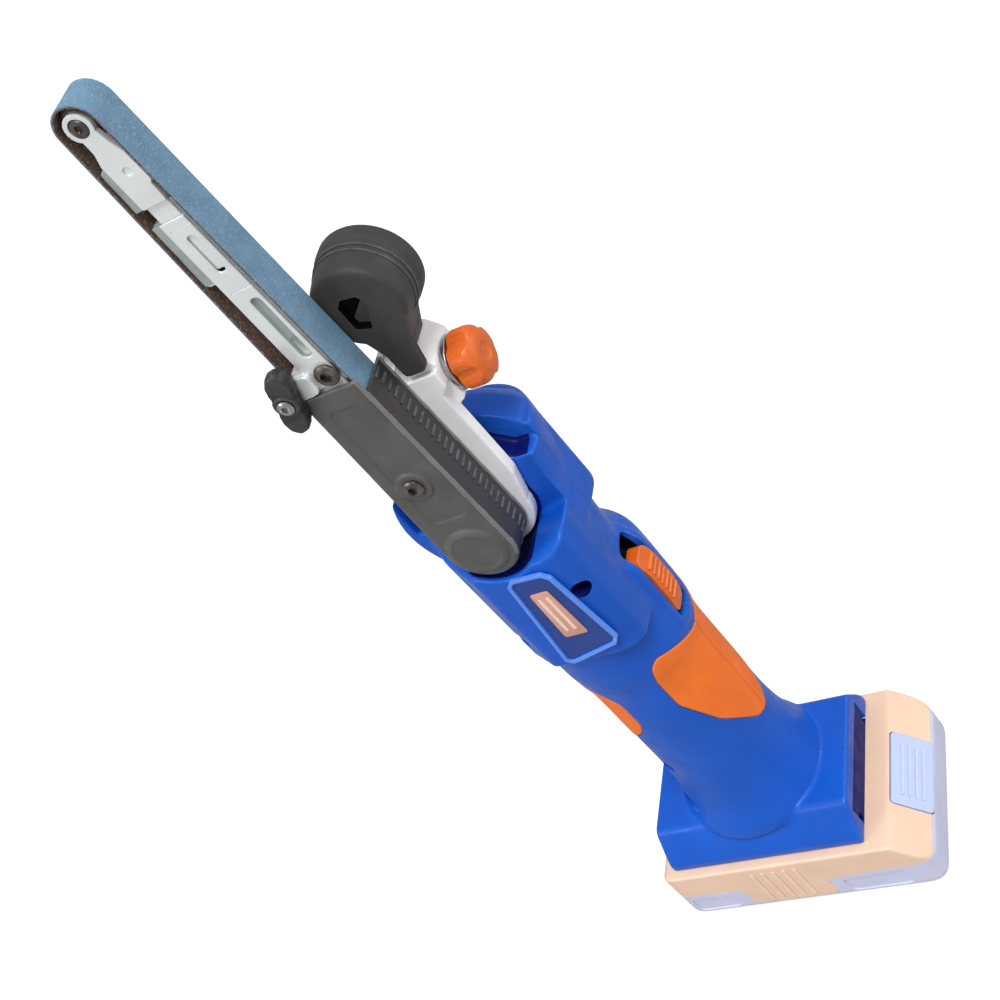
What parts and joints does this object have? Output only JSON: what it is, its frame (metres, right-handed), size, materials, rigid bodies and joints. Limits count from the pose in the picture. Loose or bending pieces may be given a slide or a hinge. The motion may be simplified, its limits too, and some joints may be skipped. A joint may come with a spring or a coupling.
{
  "type": "handheld belt sander",
  "caption": "Cordless narrow-belt sander: round upright grip on a slide-on battery, side-mounted belt arm with clamp knob, tracking knob and dust nozzle",
  "frame": {"origin": "where the tool's long axis meets the battery's flat base, which the tool stands on", "axes": "+Z runs from the battery's base up to the tip of the belt; +X is the top of the tool, the side with the slide switch and the dust nozzle; -Y is the left side, which carries the belt arm"},
  "size_m": [0.1219, 0.0784, 0.4563],
  "materials": {
    "housing_plastic": "satin moulded blue plastic",
    "grip_rubber": "fine-textured orange overmould",
    "knob_plastic": "matt orange plastic",
    "badge_plastic": "light blue raised plate",
    "dark_steel": "black-oxide steel",
    "cast_alloy": "die-cast, satin",
    "arm_alloy": "machined, satin",
    "bright_steel": "ground steel",
    "copper": "bright copper",
    "black_plastic": "matt black plastic",
    "cover_plastic": "fine-grained dark grey plastic",
    "board_green": "lacquered board",
    "wheel_rubber": "matt rubber tyre",
    "abrasive_cloth": "blue-grey abrasive grain on cloth",
    "battery_peach": "pale peach moulded plastic",
    "battery_lavender": "pale lavender moulded plastic",
    "cell_sleeve": "shrink sleeve"
  },
  "bodies": {
    "housing": {"housing_left": "housing_plastic", "housing_right": "housing_plastic", "grip_upper_left": "grip_rubber", "grip_upper_right": "grip_rubber", "grip_lower_left": "grip_rubber", "grip_lower_right": "grip_rubber", "badge_plate": "badge_plastic", "housing_screw_1": "dark_steel", "housing_screw_2": "dark_steel", "housing_screw_3": "dark_steel", "housing_screw_4": "dark_steel", "gear_case": "cast_alloy", "gear_case_cover": "cast_alloy", "spindle_bearing_front": "bright_steel", "spindle_bearing_rear": "bright_steel", "motor_can": "dark_steel", "brush_ring": "black_plastic", "motor_bearing_rear": "bright_steel", "motor_bearing_front": "bright_steel", "switch_module": "black_plastic", "circuit_board": "board_green", "terminal_block": "black_plastic", "terminal_blade_1": "copper", "terminal_blade_2": "copper"},
    "switch_slider": {"switch_button": "grip_rubber", "switch_rod": "black_plastic"},
    "spindle": {"drive_spindle": "bright_steel", "drive_wheel": "wheel_rubber", "bevel_gear": "bright_steel"},
    "rotor": {"motor_rotor": "bright_steel", "commutator": "copper", "cooling_fan": "black_plastic", "bevel_pinion": "bright_steel"},
    "arm": {"arm_holder": "cast_alloy", "arm_rail": "arm_alloy", "arm_screw_1": "dark_steel", "arm_screw_2": "dark_steel", "platen": "bright_steel", "tension_spring": "bright_steel", "abrasive_belt": "abrasive_cloth", "belt_cover": "cover_plastic", "cover_screw": "dark_steel", "pivot_screw": "dark_steel", "dust_nozzle": "cover_plastic", "lock_washer": "bright_steel"},
    "clamp_knob": {"lock_knob": "knob_plastic", "lock_screw": "bright_steel"},
    "tracking_adjuster": {"tracking_knob": "black_plastic", "tracking_screw": "bright_steel"},
    "fork": {"arm_fork": "arm_alloy", "idler_axle": "dark_steel"},
    "idler": {"idler_roller": "dark_steel"},
    "battery": {"battery_top_case": "battery_peach", "battery_bottom_case": "battery_lavender", "battery_cell_1": "cell_sleeve", "battery_cell_2": "cell_sleeve", "battery_cell_3": "cell_sleeve", "battery_cell_4": "cell_sleeve", "battery_cell_5": "cell_sleeve"},
    "latch_button": {"battery_button": "battery_lavender"}
  },
  "joints": [
    {"name": "switch_slide", "type": "slide", "parent": "housing", "child": "switch_slider", "axis": [0, 0, 1], "range_m": [0, 0.006]},
    {"name": "spindle_turn", "type": "hinge", "parent": "housing", "child": "spindle", "pos_m": [0, -0.02, 0.254], "axis": [0, 1, 0], "continuous": true},
    {"name": "motor_turn", "type": "hinge", "parent": "housing", "child": "rotor", "pos_m": [0, 0, 0.16], "axis": [0, 0, 1], "continuous": true},
    {"name": "arm_swing", "type": "hinge", "parent": "housing", "child": "arm", "pos_m": [0, -0.0112, 0.254], "axis": [0, 1, 0], "range_deg": [-30, 45]},
    {"name": "clamp_knob_turn", "type": "hinge", "parent": "arm", "child": "clamp_knob", "pos_m": [0.03, -0.001, 0.311], "axis": [1, 0, 0], "range_deg": [0, 360]},
    {"name": "tracking_turn", "type": "hinge", "parent": "arm", "child": "tracking_adjuster", "pos_m": [-0.0113, -0.034, 0.3435], "axis": [0, 1, 0], "range_deg": [-180, 180]},
    {"name": "belt_tension_slide", "type": "slide", "parent": "arm", "child": "fork", "axis": [0, 0, 1], "range_m": [-0.006, 0], "stiffness_N_per_m": 2000, "springref_m": 0.01, "deforming": ["tension_spring"]},
    {"name": "idler_turn", "type": "hinge", "parent": "fork", "child": "idler", "pos_m": [0, -0.0227, 0.4485], "axis": [0, 1, 0], "continuous": true},
    {"name": "battery_slide", "type": "slide", "parent": "housing", "child": "battery", "axis": [1, 0, 0], "range_m": [0, 0.11]},
    {"name": "latch_press", "type": "slide", "parent": "battery", "child": "latch_button", "axis": [-0.7547, 0, -0.6561], "range_m": [0, 0.0025], "stiffness_N_per_m": 1500, "springref_m": -0.001}
  ],
  "couplings": [
    {"joint": "motor_turn", "follows": "spindle_turn", "ratio": 2.6667},
    {"joint": "idler_turn", "follows": "spindle_turn", "ratio": 1.5714}
  ]
}
